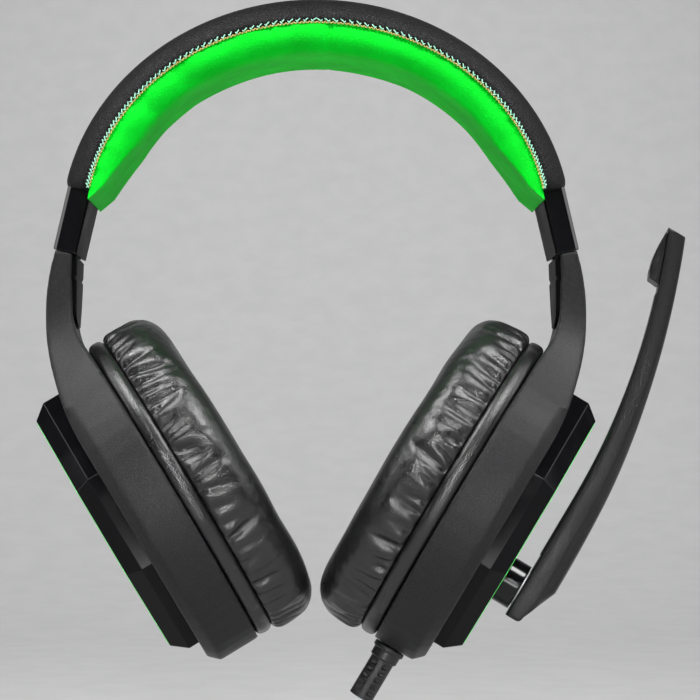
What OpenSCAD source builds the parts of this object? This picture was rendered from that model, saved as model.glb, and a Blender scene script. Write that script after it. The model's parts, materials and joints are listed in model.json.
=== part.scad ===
// Closed-back gaming headset: a padded headband, two sliding arms that each carry an oval ear cup,
// and a microphone boom that swings down from the wearer's left cup.
// Millimetres. The origin is on the head side of the headband pad at its crown, +Z up, -Y forward,
// +X towards the wearer's left. The left side is built and the right side is its mirror image.

/* [Headband] */
// Half width of the headband's outer curve
band_a = 77; // [76:0.5:78]
// Half height of the headband's outer curve
band_b = 70; // [69.5:0.5:70.5]
// Thickness of the headband at the crown, cover and pad together
band_t = 18; // [17.6:0.1:18.4]
// Front-to-back depth of the headband
band_w = 40; // [38:1:42]
// Thickness of the black cover above the green pad
cover_t = 9; // [8.8:0.1:9.2]

/* [Slide rails] */
// Lean of the end caps from the vertical, outward at the bottom
rail_lean = 13; // [12.5:0.5:13.5]
// Height of the visible end cap
cap_h = 18.7; // [18:0.1:19.4]
// Front-to-back depth of the end cap
cap_w = 28; // [27:1:30]
// Width of the flat steel slider bar
bar_w = 18; // [16:1:18]

/* [Ear cups] */
// Lean of the cups, outer face turned down
tilt = 31; // [30:0.5:32]
// Turn of the cups about their own upright axis, front edge inward
toe = 5; // [4:0.5:6]
// Half height of the grey cup ring
ring_h = 50.8; // [50:0.2:51.6]
// Half depth of the grey cup ring
ring_w = 44; // [43:0.5:45]
// Half thickness of the grey cup ring
rim = 8; // [7.8:0.1:8.2]
// Half height of the ear pad
pad_h = 51.5; // [51:0.5:52]
// Half depth of the ear pad
pad_w = 44.7; // [44:0.5:45.5]
// Half height of the black outer cap
bezel_h = 42.4; // [41.8:0.2:42.8]

/* [Microphone] */
// Radius of the bend along the boom
boom_r = 216; // [210:2:222]
// Depth of the boom, front to back
boom_w = 14; // [12:1:15]

/* [Hidden] */

$fn = 48;
eps = 0.02;
far = 70;              // further than any cut has to reach

// Headband curve: ellipses set in from the outer one, all round the same centre
band_zc = band_t - band_b;
side_k = 0.944;        // the band is a little thinner at its sides than at its crown
band_steps = 48;
strip_t = [0.9, 1.9];  // the spring strip, measured in from the outer surface
strip_w = 16;
wire_t = [3, 4.4];     // the wire to the far cup, measured the same way
wire_y = 15.5;

// Rail frame: origin at the bottom centre of the left end cap, its own Z up the cap
rail_x = 75.3;
rail_z = -57.8;
cap_t = 6;
split = -1;            // the cap halves meet on the slider bar's middle plane
bar_t = 1.8;
bar_top = 34.5;
bar_bottom = -10;
run = 0.2;             // running clearance round the bar
tongue_top = 35.5;     // the rail runs on inside the headband to here
tongue_w = 24;
tongue_x = [-3, 1];
notch_pitch = 2.5;
cap_screw_y = cap_w / 2 - 2.4;
arm_screw_z = -7.5;
arm_screw_y = 5;

// Cup frame: X outward, Z up the cup, origin at the ring's middle
cup_x = 50.6;
cup_z = -134.9;
wall = 2.6;
floor_u = [2.4, 4.8];  // inner and outer face of the wall that closes the cup
ring_edge = 3;         // bevel on the ring's outer rim
boss_at = [36, 22];    // the four baffle bosses, up the cup and front to back
driver_r = 21;

// Arm outline, in X and Z
arm_x = 80.7;          // its furthest point outward
arm_z = -79.4;
arm_x_in = 72.95;      // its upright inner face
arm_fillet = 18;
neck_w = cap_w / 2;
flare_out = 17;        // how far the arm flares to each side where it meets the ring
flare_s = 36;          // the flare starts this far up the cup
flare_len = 30;
cup_dot = cup_x * cos(tilt) - cup_z * sin(tilt);
arm_r = (cup_dot + rim - arm_x * cos(tilt) + arm_z * sin(tilt)) / (1 - cos(tilt));
corner_z = (arm_x_in * cos(tilt) - cup_dot + rim) / sin(tilt);
fillet_z = corner_z + arm_fillet * tan(tilt / 2);

// Outer cap: an eight-sided outline and its scaled copies
bezel_w = 36;
flat_s = 15;           // half length of the front and back sides
flat_y = 10;           // half length of the top and bottom sides
bezel_u = [4.9, 11.3, 15.8];
plate_back = 14;       // back of the side plate and the light ring
face_k = 0.904;        // scale of the outline at the face
ring_in_k = 0.855;     // scale of the light ring's inner edge
ledge_k = 0.82;

// Microphone
pivot_s = -15.5;       // the pivot sits this far below the cup's middle
hub_r = 6.5;
base_top = 21.8;
boom_in = 22.3;        // inner face of the boom at the pivot
boom_straight = 31.5;
boom_bend = 23.15;     // degrees of bend
boom_t = 9.6;
boom_thin = 3.8;       // how much thinner the tip is
boom_tail = -9;
shaft_r = 2.5;

// Strain relief
relief_u = -2.4;
relief_s = -51;
relief_len = 17.5;
cord_r = 2;
relief_ribs = 5;

// ---------------------------------------------------------------- helpers

function oval(h, w, n = 56) = [for (i = [0:n - 1]) [w * sin(360 * i / n), h * cos(360 * i / n)]];
function octagon(k) = k * [
  [flat_y, bezel_h], [bezel_w, flat_s], [bezel_w, -flat_s], [flat_y, -bezel_h],
  [-flat_y, -bezel_h], [-bezel_w, -flat_s], [-bezel_w, flat_s], [-flat_y, bezel_h]
];
function band_curve(t, a0) = [
  for (i = [0:band_steps])
    let (a = a0 + (180 - 2 * a0) * i / band_steps)
      [(band_a - side_k * t) * cos(a), band_zc + (band_b - t) * sin(a)]
];
function reversed(list) = [for (i = [len(list) - 1:-1:0]) list[i]];
function arc(cx, cz, r, a0, a1, n) = [
  for (i = [0:n]) let (a = a0 + (a1 - a0) * i / n) [cx + r * cos(a), cz + r * sin(a)]
];

// An X-Z outline made solid across Y
module across_y(depth) rotate([90, 0, 0]) linear_extrude(depth, center = true) children();

// A Y-Z outline made solid along X
module along_x(x0, x1) translate([x0, 0, 0]) rotate([90, 0, 90]) linear_extrude(x1 - x0) children();

// A round bar along X
module rod_x(x0, x1, r) translate([x0, 0, 0]) rotate([0, 90, 0]) cylinder(h = x1 - x0, r = r);

module on_side(side) {
  if (side == "left") children();
  else mirror([1, 0, 0]) children();
}

module in_rail() translate([rail_x, 0, rail_z]) rotate([0, -rail_lean, 0]) children();

// Turns what is drawn in the upright frame by the cup's toe
module toed() translate([cup_x, 0, cup_z]) rotate([0, tilt, 0]) rotate([0, 0, -toe])
  rotate([0, -tilt, 0]) translate([-cup_x, 0, -cup_z]) children();

module in_cup() translate([cup_x, 0, cup_z]) rotate([0, tilt, 0]) rotate([0, 0, -toe]) children();

module band_slice(t0, t1, a0, depth) across_y(depth)
  polygon(concat(band_curve(t0, a0), reversed(band_curve(t1, a0))));

// ---------------------------------------------------------------- headband

// Everything below the ends of the padding, whose pad thins down to an edge against the end cap
module below_band() for (side = ["left", "right"]) on_side(side) in_rail()
  across_y(band_w + 2) polygon([
    [12, cap_h + 0.1], [-3.1, cap_h + 0.1], [-3.1, cap_h - 5], [-15, cap_h + 14], [-40, cap_h + 14],
    [-40, -20], [12, -20]
  ]);

module tongue_pocket() for (side = ["left", "right"]) on_side(side) in_rail()
  translate([tongue_x[0] - run, -tongue_w / 2 - run, cap_h - 1])
    cube([tongue_x[1] - tongue_x[0] + 2 * run, tongue_w + 2 * run, tongue_top - cap_h + 1 + run]);

module headband_spring() color("silver")
  band_slice(strip_t[0], strip_t[1], 15.5, strip_w);

module headband_top_cover() color([0.05, 0.05, 0.055]) difference() {
  band_slice(0, cover_t, 8, band_w);
  band_slice(strip_t[0] - eps, strip_t[1] + eps, 15.4, strip_w + 2 * eps);
  translate([0, wire_y, 0]) band_slice(wire_t[0] - eps, wire_t[1] + eps, 5, wire_t[1] - wire_t[0] + 2 * eps);
  below_band();
  tongue_pocket();
}

module headband_cushion() color([0, 0.8, 0.2]) difference() {
  band_slice(cover_t + eps, band_t, 3, band_w);
  below_band();
  tongue_pocket();
}

module cross_cable() color([0.1, 0.1, 0.1]) difference() {
  translate([0, wire_y, 0]) band_slice(wire_t[0], wire_t[1], 5, wire_t[1] - wire_t[0]);
  below_band();
}

// The slot that the slider bar runs in
module bar_slot() translate([split - bar_t / 2 - run, -bar_w / 2 - run, -1])
  cube([bar_t + 2 * run, bar_w + 2 * run, tongue_top + 2]);

module cap_blank(x0, x1) {
  edge = 0.8;
  front = cap_w / 2;
  linear_extrude(cap_h) polygon(x0 < split ?
    [[x0 + edge, -front], [x1, -front], [x1, front], [x0 + edge, front], [x0, front - edge], [x0, edge - front]] :
    [[x0, -front], [x1 - edge, -front], [x1, edge - front], [x1, front - edge], [x1 - edge, front], [x0, front]]);
}

// The pocket beside the bar in which the detent spring bows
module detent_pocket() translate([split - 1, bar_w / 2 + run - eps, 5]) cube([2, 1.7, 9]);

module end_cap_outer(side) color([0.02, 0.02, 0.02]) on_side(side) in_rail() difference() {
  union() {
    cap_blank(split, cap_t / 2);
    translate([split, -tongue_w / 2, cap_h - eps])
      cube([tongue_x[1] - split, tongue_w, tongue_top - cap_h]);
  }
  bar_slot();
  detent_pocket();
  for (y = [-cap_screw_y, cap_screw_y]) translate([0, y, cap_h / 2]) rod_x(split - 1, 2, 1);
}

module end_cap_inner(side) color([0.02, 0.02, 0.02]) on_side(side) in_rail() difference() {
  union() {
    cap_blank(-cap_t / 2, split);
    translate([tongue_x[0], -tongue_w / 2, cap_h - eps])
      cube([split - tongue_x[0], tongue_w, tongue_top - cap_h]);
  }
  bar_slot();
  detent_pocket();
  for (y = [-cap_screw_y, cap_screw_y]) translate([0, y, cap_h / 2]) {
    rod_x(-cap_t, split + 1, 1);
    rod_x(-cap_t, -1.75, 1.8);
  }
}

module end_cap_screws() color("silver")
  for (side = ["left", "right"]) on_side(side) in_rail()
    for (y = [-cap_screw_y, cap_screw_y]) translate([0, y, cap_h / 2]) difference() {
      union() {
        rod_x(-1.8, 1.9, 1 - eps);
        rod_x(-2.8, -1.78, 1.8 - eps);
      }
      translate([-3, -0.25, -1.1]) cube([0.6, 0.5, 2.2]);
      translate([-3, -1.1, -0.25]) cube([0.6, 2.2, 0.5]);
    }

// A leaf of spring steel bowed towards the notched edge of the slider bar
module detent_springs() color("silver")
  for (side = ["left", "right"]) on_side(side) in_rail()
    translate([split - 0.8, 0, 9.5]) rotate([90, 0, 90]) linear_extrude(1.6) polygon(concat(
      [for (i = [-6:6]) [bar_w / 2 + 0.35 + i * i / 36, 0.65 * i]],
      [for (i = [6:-1:-6]) [bar_w / 2 + 0.65 + i * i / 36, 0.65 * i]]));

// ---------------------------------------------------------------- arm and ring

module slider_bar(side) color("silver") on_side(side) in_rail() difference() {
  translate([split - bar_t / 2, -bar_w / 2, bar_bottom]) cube([bar_t, bar_w, bar_top - bar_bottom]);
  for (i = [0:9]) translate([0, bar_w / 2 + 0.3, 6.5 + i * notch_pitch]) rod_x(-3, 3, 0.7);
  for (y = [-arm_screw_y, arm_screw_y]) translate([0, y, arm_screw_z]) rod_x(-3, 3, 1);
}

module arm_outline() polygon(concat(
  [[arm_x_in, -52.4]],
  arc(arm_x_in - arm_fillet, fillet_z, arm_fillet, 0, -tilt, 8),
  [for (u = [-rim - eps, rim + eps])
    [cup_x + u * cos(tilt) - far * sin(tilt), cup_z - u * sin(tilt) - far * cos(tilt)]],
  arc(arm_x - arm_r, arm_z, arm_r, -tilt, 20, 24)));

// Seen square to the cup the arm widens in a smooth flare into the ring
module neck() along_x(-20, 60) polygon(concat(
  [[neck_w, 95]],
  [for (i = [10:-1:0]) [neck_w + flare_out * pow(1 - i / 10, 1.54), flare_s + flare_len * i / 10]],
  [[neck_w + flare_out, 20], [-neck_w - flare_out, 20]],
  [for (i = [0:10]) [-neck_w - flare_out * pow(1 - i / 10, 1.54), flare_s + flare_len * i / 10]],
  [[-neck_w, 95]]));

module ring_blank() {
  along_x(-rim, rim - ring_edge) polygon(oval(ring_h, ring_w));
  translate([rim - ring_edge, 0, 0]) rotate([90, 0, 90])
    linear_extrude(ring_edge, scale = (ring_h - ring_edge) / ring_h) polygon(oval(ring_h, ring_w));
}

module baffle_bosses() for (s = [-1, 1], y = [-1, 1])
  translate([0, y * boss_at[1], s * boss_at[0]]) rod_x(-5.5, floor_u[0] + 1, 3);

module yoke(side) color([0.23, 0.23, 0.23]) on_side(side) difference() {
  toed() intersection() {
    translate([cup_x, 0, cup_z]) rotate([0, tilt, 0]) {
      neck();
      ring_blank();
    }
    across_y(120) arm_outline();
  }
  in_cup() {
    difference() {
      along_x(-rim - 1, floor_u[0]) polygon(oval(ring_h - wall, ring_w - wall));
      baffle_bosses();
    }
    along_x(floor_u[1], rim + 20) polygon(oval(ring_h - 5.2, ring_w - 5));
    rod_x(0, 10, 6);
    for (s = [-1, 1], y = [-1, 1])
      translate([0, y * boss_at[1], s * boss_at[0]]) rod_x(-7, 1.5, 1.1);
    if (side == "left") translate([relief_u, 0, -far]) cylinder(h = far - ring_h + 5, r = 2.6);
  }
  in_rail() {
    translate([-10, -40, -0.5]) cube([20, 80, 30]);
    translate([split - bar_t / 2 - eps, -bar_w / 2 - eps, bar_bottom - eps])
      cube([bar_t + 2 * eps, bar_w + 2 * eps, 20]);
    for (y = [-arm_screw_y, arm_screw_y]) translate([0, y, arm_screw_z]) {
      rod_x(-4, 1.5, 1);
      rod_x(-6, -1.9, 1.95);
    }
  }
  toed() inner_cover_outline(arm_x_in - 5, arm_x_in + 0.2, eps);
}

// A rounded panel on the arm's inner face, which hides the screws and the wire
module inner_cover_outline(x0, x1, grow) {
  half = 10 + grow;
  along_x(x0, x1) polygon(concat(
    [[-half, -76.9 - grow], [half, -76.9 - grow]],
    arc(0, -72.4, half, 0, 180, 16)));
}

module arm_inner_cover(side) color([0.03, 0.03, 0.03]) on_side(side) toed()
  inner_cover_outline(arm_x_in - 0.9, arm_x_in + 0.2, 0);

module arm_screws(side) color("silver") on_side(side) in_rail()
  for (y = [-arm_screw_y, arm_screw_y]) translate([0, y, arm_screw_z]) {
    rod_x(-1.95, 1.4, 1 - eps);
    rod_x(-2.75, -1.93, 1.9);
  }

// ---------------------------------------------------------------- outer side of the cup

module outer_cap(side) color([0.02, 0.02, 0.02]) on_side(side) in_cup() difference() {
  union() {
    along_x(bezel_u[0], bezel_u[1]) polygon(octagon(1));
    translate([bezel_u[1] - eps, 0, 0]) rotate([90, 0, 90])
      linear_extrude(bezel_u[2] - bezel_u[1], scale = face_k + 0.012) polygon(octagon(1));
  }
  along_x(bezel_u[0] - 1, bezel_u[1]) polygon(octagon(0.95));
  along_x(bezel_u[1] - 1, 20) polygon(octagon(ledge_k));
  along_x(plate_back, 20) polygon(octagon(face_k + 0.001));
}

module side_plate(side) color([0.04, 0.04, 0.045]) on_side(side) in_cup() difference() {
  along_x(plate_back + eps, bezel_u[2]) polygon(octagon(ring_in_k - 0.001));
  if (side == "left") translate([0, 0, pivot_s]) rod_x(10, 20, 4.1);
}

module light_ring(side) color([0.5, 0.95, 0.5]) on_side(side) in_cup() difference() {
  along_x(plate_back + eps, bezel_u[2] + 0.2) polygon(octagon(face_k));
  along_x(11, 20) polygon(octagon(ring_in_k));
}

module led_board(side) color([0.05, 0.3, 0.1]) on_side(side) in_cup() difference() {
  along_x(floor_u[1] + 0.1, floor_u[1] + 1.1) polygon(octagon(0.9));
  along_x(0, 20) polygon(octagon(0.72));
}

module leds(side) color([0.7, 1, 0.7]) on_side(side) in_cup()
  for (a = [0:60:300]) rotate([a, 0, 0]) translate([floor_u[1] + 1.12, -1.5, 31]) cube([1, 3, 1.5]);

// ---------------------------------------------------------------- inner side of the cup

module baffle(side) color([0.06, 0.06, 0.06]) on_side(side) in_cup() difference() {
  along_x(-7.5, -5.52) polygon(oval(ring_h - wall - 0.1, ring_w - wall - 0.1));
  rod_x(-9, 0, 2);
  for (a = [0:60:300]) rotate([a, 0, 0]) translate([0, 0, 7]) rod_x(-9, 0, 2);
  for (a = [0:30:330]) rotate([a, 0, 0]) translate([0, 0, 14]) rod_x(-9, 0, 2);
  for (s = [-1, 1], y = [-1, 1]) translate([0, y * boss_at[1], s * boss_at[0]]) {
    rod_x(-9, 0, 1.2);
    rod_x(-9, -6.3, 2.3);
  }
}

module baffle_screws(side) color("silver") on_side(side) in_cup()
  for (s = [-1, 1], y = [-1, 1]) translate([0, y * boss_at[1], s * boss_at[0]]) {
    rod_x(-6.32, 1.2, 1.05);
    rod_x(-7.4, -6.32 + eps, 2.2);
  }

module driver_frame(side) color([0.08, 0.08, 0.08]) on_side(side) in_cup() difference() {
  union() {
    rod_x(-5.5, -4.3, driver_r);
    rod_x(-4.32, -1.8, driver_r - 2);
  }
  rod_x(-6, -3, driver_r - 3);
  rod_x(-6, 0, 11);
}

module driver_magnet(side) color("silver") on_side(side) in_cup() difference() {
  union() {
    rod_x(-1.78, 2.2, 12);
    rod_x(-3.4, -1.7, 6);
  }
  rod_x(-6, -1.2, 5);
}

module driver_cone(side) color([0.75, 0.7, 0.6]) on_side(side) in_cup() rotate([0, 90, 0])
  rotate_extrude() polygon([
    [0, -4.1], [4.5, -4.4], [7, -4.9], [12, -4.5], [driver_r - 3.1, -5.1],
    [driver_r - 3.1, -4.8], [12, -4.2], [7.6, -4.6], [7.6, -2.6], [7.1, -2.6], [7, -4.6], [4.5, -4.1], [0, -3.8]
  ]);

module pad_frame(side) color([0.05, 0.05, 0.05]) on_side(side) in_cup() difference() {
  along_x(-12.8, -7.6) polygon(oval(ring_h - 5.3, ring_w - 5));
  along_x(-20, 0) polygon(oval(33, 26));
  for (s = [-1, 1], y = [-1, 1]) translate([0, y * boss_at[1], s * boss_at[0]]) rod_x(-20, 0, 2.6);
}

module acoustic_cloth(side) color([0.1, 0.1, 0.1]) on_side(side) in_cup()
  along_x(-13.22, -12.82) polygon(oval(ring_h - 6, ring_w - 5.6));

module ear_pad_skirt(side) color([0.06, 0.06, 0.06]) on_side(side) in_cup() difference() {
  along_x(-13.2, -rim - 0.3) polygon(oval(ring_h - 1, ring_w - 1));
  along_x(-20, 0) polygon(oval(ring_h - 5.25, ring_w - 4.95));
}

module ear_pad(side) color([0.05, 0.05, 0.05]) on_side(side) in_cup() difference() {
  union() {
    along_x(-15.5, -13.25) polygon(oval(pad_h - 2, pad_w - 2));
    along_x(-24, -15.5) polygon(oval(pad_h, pad_w));
    along_x(-27.5, -24) polygon(oval(pad_h - 3, pad_w - 3));
    along_x(-30.8, -27.5) polygon(oval(pad_h - 8, pad_w - 8));
  }
  along_x(-40, 0) polygon(oval(32, 22));
}

// ---------------------------------------------------------------- left cup only

module audio_board() color([0.05, 0.3, 0.1]) in_cup() difference() {
  union() {
    translate([0.2, -11, -40]) cube([1, 22, 16]);
    translate([-1.4, -6, -36]) cube([1.62, 7, 7]);
    translate([-1, 4, -33]) cube([1.22, 4, 5]);
  }
  translate([0, 0, -28]) rod_x(-3, 3, 1);
}

// A rib inside the cup that grips the cable above the strain relief
module cable_clamp() color([0.06, 0.06, 0.06]) in_cup() difference() {
  translate([relief_u - 3, -5, -46.2]) cube([6, 10, 3.5]);
  translate([relief_u, 0, -50]) cylinder(h = 10, r = cord_r);
}

module strain_relief() color([0.1, 0.1, 0.1]) in_cup() translate([relief_u, 0, 0]) difference() {
  union() {
    translate([0, 0, relief_s - 1.4]) cylinder(h = 1.4, r = 4.9);
    translate([0, 0, relief_s - 4.2]) cylinder(h = 3, r = 4.3);
    translate([0, 0, relief_s - relief_len]) cylinder(h = relief_len - 4, r = 3.7);
    translate([0, 0, relief_s - 0.2]) cylinder(h = 4.4, r = 2.5);
  }
  translate([0, 0, relief_s - relief_len - 1]) cylinder(h = 40, r = cord_r);
  for (i = [0:relief_ribs - 1], turn = [0, 180]) rotate([0, 0, turn])
    for (x = [-1, 1]) translate([x * 2.1 - 1.1, -6, relief_s - 6.6 - 2.25 * i]) cube([2.2, 3.7, 1.1]);
}

module mic_base() color([0.02, 0.02, 0.02]) in_cup() translate([0, 0, pivot_s]) difference() {
  union() {
    rod_x(bezel_u[2] + 0.02, base_top, hub_r);
    rod_x(11, bezel_u[2] + 0.1, 4);
  }
  rod_x(10, 30, shaft_r + 0.04);
}

// ---------------------------------------------------------------- microphone boom

function boom_x(depth, a) = boom_in - boom_r + (boom_r + depth) * cos(a);
function boom_z(depth, a) = boom_straight + (boom_r + depth) * sin(a);
function boom_depth(a) = boom_t - boom_thin * pow(a / boom_bend, 1.5);

// A strip along the boom between two depths from its inner face, from angle a0 to the tip or short of it
function boom_edge(depth, a0, a1, n = 16) = [
  for (i = [0:n]) let (a = a0 + (a1 - a0) * i / n) [boom_x(depth, a), boom_z(depth, a)]
];

module in_boom() in_cup() translate([0, 0, pivot_s]) children();

module boom_profile() polygon(concat(
  [[boom_in, boom_tail + 1.2], [boom_in, boom_straight]],
  boom_edge(0, 1, boom_bend),
  [[boom_x(boom_t - boom_thin, boom_bend) + 1, boom_z(boom_t - boom_thin, boom_bend) - 3]],
  [for (i = [15:-1:0]) let (a = (boom_bend - 1) * i / 15) [boom_x(boom_depth(a), a), boom_z(boom_depth(a), a)]],
  [[boom_in + boom_t, 4], [boom_in + 5, boom_tail + 2], [boom_in + 3.5, boom_tail], [boom_in + 1.2, boom_tail]]));

// The strip of the inner face that the boom's cover fills
module boom_cover_zone(grow, depth) across_y(9 + 2 * grow) polygon(concat(
  [[boom_in - 1, 12 - grow], [boom_in - 1, boom_straight]],
  boom_edge(-1, 1, 17.6 + grow / 4),
  reversed(boom_edge(depth, 0, 17.6 + grow / 4)),
  [[boom_in + depth, 12 - grow]]));

module boom_wire_channel() across_y(2.4) polygon(concat(
  [[boom_in - 1, 12], [boom_in - 1, boom_straight]],
  boom_edge(-1, 1, 19),
  reversed(boom_edge(3, 0, 19)),
  [[boom_in + 3, 12]]));

module at_pod() translate([boom_x(0, 20.6), 0, boom_z(0, 20.6)]) rotate([0, -20.6, 0]) children();
module at_capsule() at_pod() translate([0, 0, -2.4]) children();

module mic_boom_shell() color([0.2, 0.2, 0.2]) in_boom() difference() {
  across_y(boom_w) boom_profile();
  boom_cover_zone(0.1, 1.3);
  boom_wire_channel();
  rod_x(boom_in - 1, boom_in + 6.5, shaft_r + 0.02);
  at_capsule() rod_x(-4, 1.4, 3.2);
}

module mic_boom_cover() color([0.06, 0.06, 0.06]) in_boom() intersection() {
  boom_cover_zone(0, 1.2);
  across_y(boom_w) boom_profile();
}

module mic_pivot_shaft() color("silver") in_boom() difference() {
  rod_x(11, boom_in + 6.4, shaft_r);
  rod_x(10, 18, 1);
}

module mic_friction_washer() color("white") in_boom() difference() {
  rod_x(base_top + 0.05, boom_in - 0.05, 5.5);
  rod_x(0, 40, shaft_r + 0.02);
}

module mic_pivot_screw() color("silver") in_boom() {
  rod_x(9.7, 10.9, 3.6);
  rod_x(10.88, 17, 1 - eps);
}

module mic_grille_cap() color([0.08, 0.08, 0.08]) in_boom() difference() {
  at_pod() across_y(10) polygon([
    [-0.18, -8], [-3.4, -6.4], [-3.6, -4], [-3.2, 0], [-2.2, 4], [-0.8, 8], [-0.18, 8], [-0.07, 4], [-0.03, 0], [-0.07, -4]
  ]);
  at_capsule() rod_x(-2.5, 2, 3.1);
  at_capsule() for (z = [-1.6, 0, 1.6], y = [-1.6, 0, 1.6]) translate([0, y, z]) rod_x(-5, 0, 0.4);
}

module mic_capsule() color("silver") in_boom() at_capsule() rod_x(-1.6, 1.3, 3);

// ---------------------------------------------------------------- assembly

headband_spring();
headband_top_cover();
headband_cushion();
cross_cable();
end_cap_screws();
detent_springs();
for (side = ["left", "right"]) {
  end_cap_outer(side);
  end_cap_inner(side);
  slider_bar(side);
  yoke(side);
  arm_inner_cover(side);
  arm_screws(side);
  outer_cap(side);
  side_plate(side);
  light_ring(side);
  led_board(side);
  leds(side);
  baffle(side);
  baffle_screws(side);
  driver_frame(side);
  driver_magnet(side);
  driver_cone(side);
  pad_frame(side);
  acoustic_cloth(side);
  ear_pad_skirt(side);
  ear_pad(side);
}
audio_board();
cable_clamp();
strain_relief();
mic_base();
mic_boom_shell();
mic_boom_cover();
mic_pivot_shaft();
mic_friction_washer();
mic_pivot_screw();
mic_grille_cap();
mic_capsule();
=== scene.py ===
"""Looks for the gaming headset: leather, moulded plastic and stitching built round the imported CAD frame.

Shapes are worked out in millimetres in three local frames (headband, slide rail, ear cup) and turned into
metres when a mesh is made. The left side is built, and the right side is its mirror image.
"""

import json
import math
import random

import bmesh
import bpy
from mathutils import Matrix, Vector, noise


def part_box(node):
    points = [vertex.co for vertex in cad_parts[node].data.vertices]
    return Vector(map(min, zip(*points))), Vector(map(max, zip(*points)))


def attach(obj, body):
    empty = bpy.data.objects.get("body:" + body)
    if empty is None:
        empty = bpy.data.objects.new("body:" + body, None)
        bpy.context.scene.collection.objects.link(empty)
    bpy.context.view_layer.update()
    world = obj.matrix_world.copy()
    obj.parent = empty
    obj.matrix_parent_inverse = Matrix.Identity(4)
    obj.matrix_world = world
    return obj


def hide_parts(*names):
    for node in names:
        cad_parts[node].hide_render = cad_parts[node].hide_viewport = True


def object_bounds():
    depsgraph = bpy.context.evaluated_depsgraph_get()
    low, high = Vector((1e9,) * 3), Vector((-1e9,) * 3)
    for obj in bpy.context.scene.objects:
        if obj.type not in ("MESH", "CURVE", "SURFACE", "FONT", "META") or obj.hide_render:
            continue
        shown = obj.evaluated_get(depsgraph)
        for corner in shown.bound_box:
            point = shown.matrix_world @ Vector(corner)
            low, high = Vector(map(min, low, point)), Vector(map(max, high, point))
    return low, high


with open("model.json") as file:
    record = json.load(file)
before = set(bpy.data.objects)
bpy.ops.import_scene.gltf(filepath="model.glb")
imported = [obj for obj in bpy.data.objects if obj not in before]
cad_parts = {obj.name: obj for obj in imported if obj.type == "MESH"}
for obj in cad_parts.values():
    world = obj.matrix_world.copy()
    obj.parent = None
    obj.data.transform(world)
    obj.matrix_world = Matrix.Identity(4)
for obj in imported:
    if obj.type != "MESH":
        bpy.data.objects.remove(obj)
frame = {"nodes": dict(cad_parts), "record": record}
cad_lo, cad_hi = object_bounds()

MM = 0.001
TAU = 2 * math.pi
SIDES = ("left", "right")

# ---- frames, in millimetres


def record_entry(kind, name):
    """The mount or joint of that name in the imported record."""
    record = frame["record"]
    rows = record["mounts"] if kind == "mount" else record["behaviour"]["joints"]
    return next(row for row in rows if row["name"] == name)


# Headband: ellipses set in from the outer curve, all round one centre; height 0 is its underside at the crown
BAND_T = (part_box("headband_top_cover")[1] / MM).z
BAND_A, BAND_B = 77.0, 70.0  # half width and half height of the outer curve
BAND_SIDE = 0.944  # how much of its depth the padding has at the sides
BAND_ZC = BAND_T - BAND_B
BAND_END = 10.2  # degrees above the ellipse's axis where the cover ends at the outer curve
COVER_T = 9.0  # depth of the seam between the top cover and the cushion
CREASE = 86.5  # degrees where a crease crosses the padding

# Slide rail of the left end cap: Z runs up the cap, X outward
RAIL_UP = -Vector(record_entry("joint", "slider_left")["axis"])
RAIL_OUT = Vector((RAIL_UP.z, 0, -RAIL_UP.x))
RAIL_ORIGIN = Vector((75.3, 0, -57.8))
CAP_H, CAP_W, CAP_T = 18.7, 28.0, 6.0

# Ear cup: X outward, Z up the cup
CUP_OUT = Vector(record_entry("joint", "mic_swing")["axis"]).normalized()
CUP_UP = -Vector(record_entry("mount", "cable_entry")["axis"]).normalized()
CUP_BACK = CUP_UP.cross(CUP_OUT)
PIVOT_U, PIVOT_S = 18.0, -15.5
PIVOT = Vector(record_entry("joint", "mic_swing")["pos_m"]) / MM
CUP_ORIGIN = PIVOT - PIVOT_U * CUP_OUT - PIVOT_S * CUP_UP
TOE = 5.0  # degrees that the cup toes in
TOE_FROM, TOE_OVER = 42.0, 32.0  # height up the cup where the arm starts to lose the toe, and over how much
RING_H, RING_W = 50.8, 44.0  # half sizes, here and below
PAD_H, PAD_W = 51.5, 44.7
EAR_H, EAR_W = 32.0, 22.0
SEAM_U = -13.4
BEZEL_H, BEZEL_W, FLAT_S, FLAT_Y = 42.4, 36.0, 15.0, 10.0
FACE_K, LIGHT_K, LEDGE_K = 0.904, 0.855, 0.82  # shares of the bezel: its face, the light line, the ledge


def cup_point(u, y, s):
    return CUP_ORIGIN + u * CUP_OUT + y * CUP_BACK + s * CUP_UP


def rail_point(x, y, z):
    return RAIL_ORIGIN + x * RAIL_OUT + y * Vector((0, 1, 0)) + z * RAIL_UP


def band_point(t, y, angle):
    """t in from the outer curve; angle from the wearer's left end, 90 degrees at the crown."""
    a = math.radians(angle)
    return Vector(((BAND_A - BAND_SIDE * t) * math.cos(a), y, BAND_ZC + (BAND_B - t) * math.sin(a)))


def mirrored(p, side):
    """A point of that side as it is on the left, and back again."""
    return Vector((-p.x if side == "right" else p.x, p.y, p.z))


def smooth(x):
    x = min(1.0, max(0.0, x))
    return x * x * (3 - 2 * x)


def mix(a, b, k):
    return a + (b - a) * k


# ---- materials


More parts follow.
